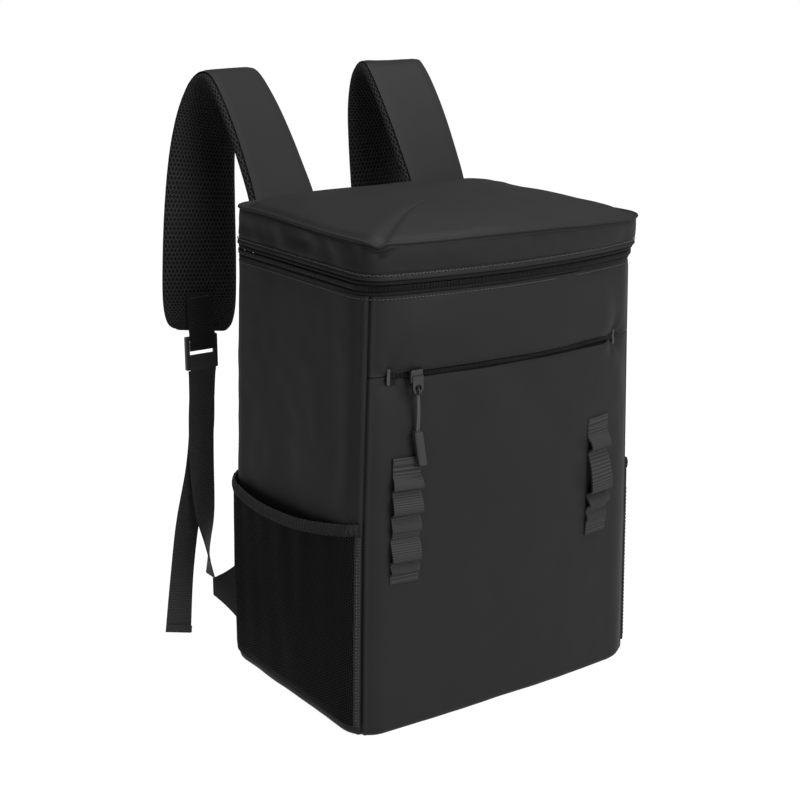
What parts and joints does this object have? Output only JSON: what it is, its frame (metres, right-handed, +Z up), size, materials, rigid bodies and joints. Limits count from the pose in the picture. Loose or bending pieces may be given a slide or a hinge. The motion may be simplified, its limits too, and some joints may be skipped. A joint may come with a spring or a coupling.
{
  "type": "lunch backpack",
  "caption": "Square insulated lunch backpack with a padded zip lid, flat front pocket, webbing ladders, mesh side pockets and padded shoulder straps.",
  "frame": {"origin": "centre of the flat base, on the floor", "axes": "+Z up, -Y towards the front with the zip pocket, +Y towards the shoulder straps, +X towards the right side seen from the front"},
  "size_m": [0.3646, 0.3322, 0.4903],
  "materials": {
    "coated_cloth": "matte black coated cloth",
    "webbing_cloth": "ribbed black webbing",
    "mesh_cloth": "black diagonal mesh",
    "zip_cloth": "black zip tape and coil",
    "hard_plastic": "moulded black, satin",
    "dark_metal": "dark coated metal"
  },
  "bodies": {
    "root": {"back_panel": "coated_cloth", "base_panel": "coated_cloth", "buckle_left": "hard_plastic", "buckle_right": "hard_plastic", "front_pocket_panel": "coated_cloth", "front_upper_panel": "coated_cloth", "front_wall": "coated_cloth", "front_zip_chain": "zip_cloth", "front_zip_grip": "hard_plastic", "front_zip_pull_cord": "webbing_cloth", "front_zip_slider": "dark_metal", "front_zip_tape": "zip_cloth", "lid_band": "coated_cloth", "lid_hinge": "coated_cloth", "lid_top": "coated_cloth", "main_zip_slider": "dark_metal", "shoulder_pad_left": "coated_cloth", "shoulder_pad_right": "coated_cloth", "side_panel_left": "coated_cloth", "side_panel_right": "coated_cloth", "side_pocket_binding_left": "webbing_cloth", "side_pocket_binding_right": "webbing_cloth", "side_pocket_left": "mesh_cloth", "side_pocket_right": "mesh_cloth", "strap_anchor_left": "coated_cloth", "strap_anchor_right": "coated_cloth", "strap_stub_left": "webbing_cloth", "strap_stub_right": "webbing_cloth", "strap_tail_left": "webbing_cloth", "strap_tail_right": "webbing_cloth", "strap_webbing_left": "webbing_cloth", "strap_webbing_right": "webbing_cloth", "webbing_ladder_left": "webbing_cloth", "webbing_ladder_right": "webbing_cloth", "zip_chain": "zip_cloth", "zip_tape_lower": "zip_cloth", "zip_tape_upper": "zip_cloth"}
  },
  "joints": []
}
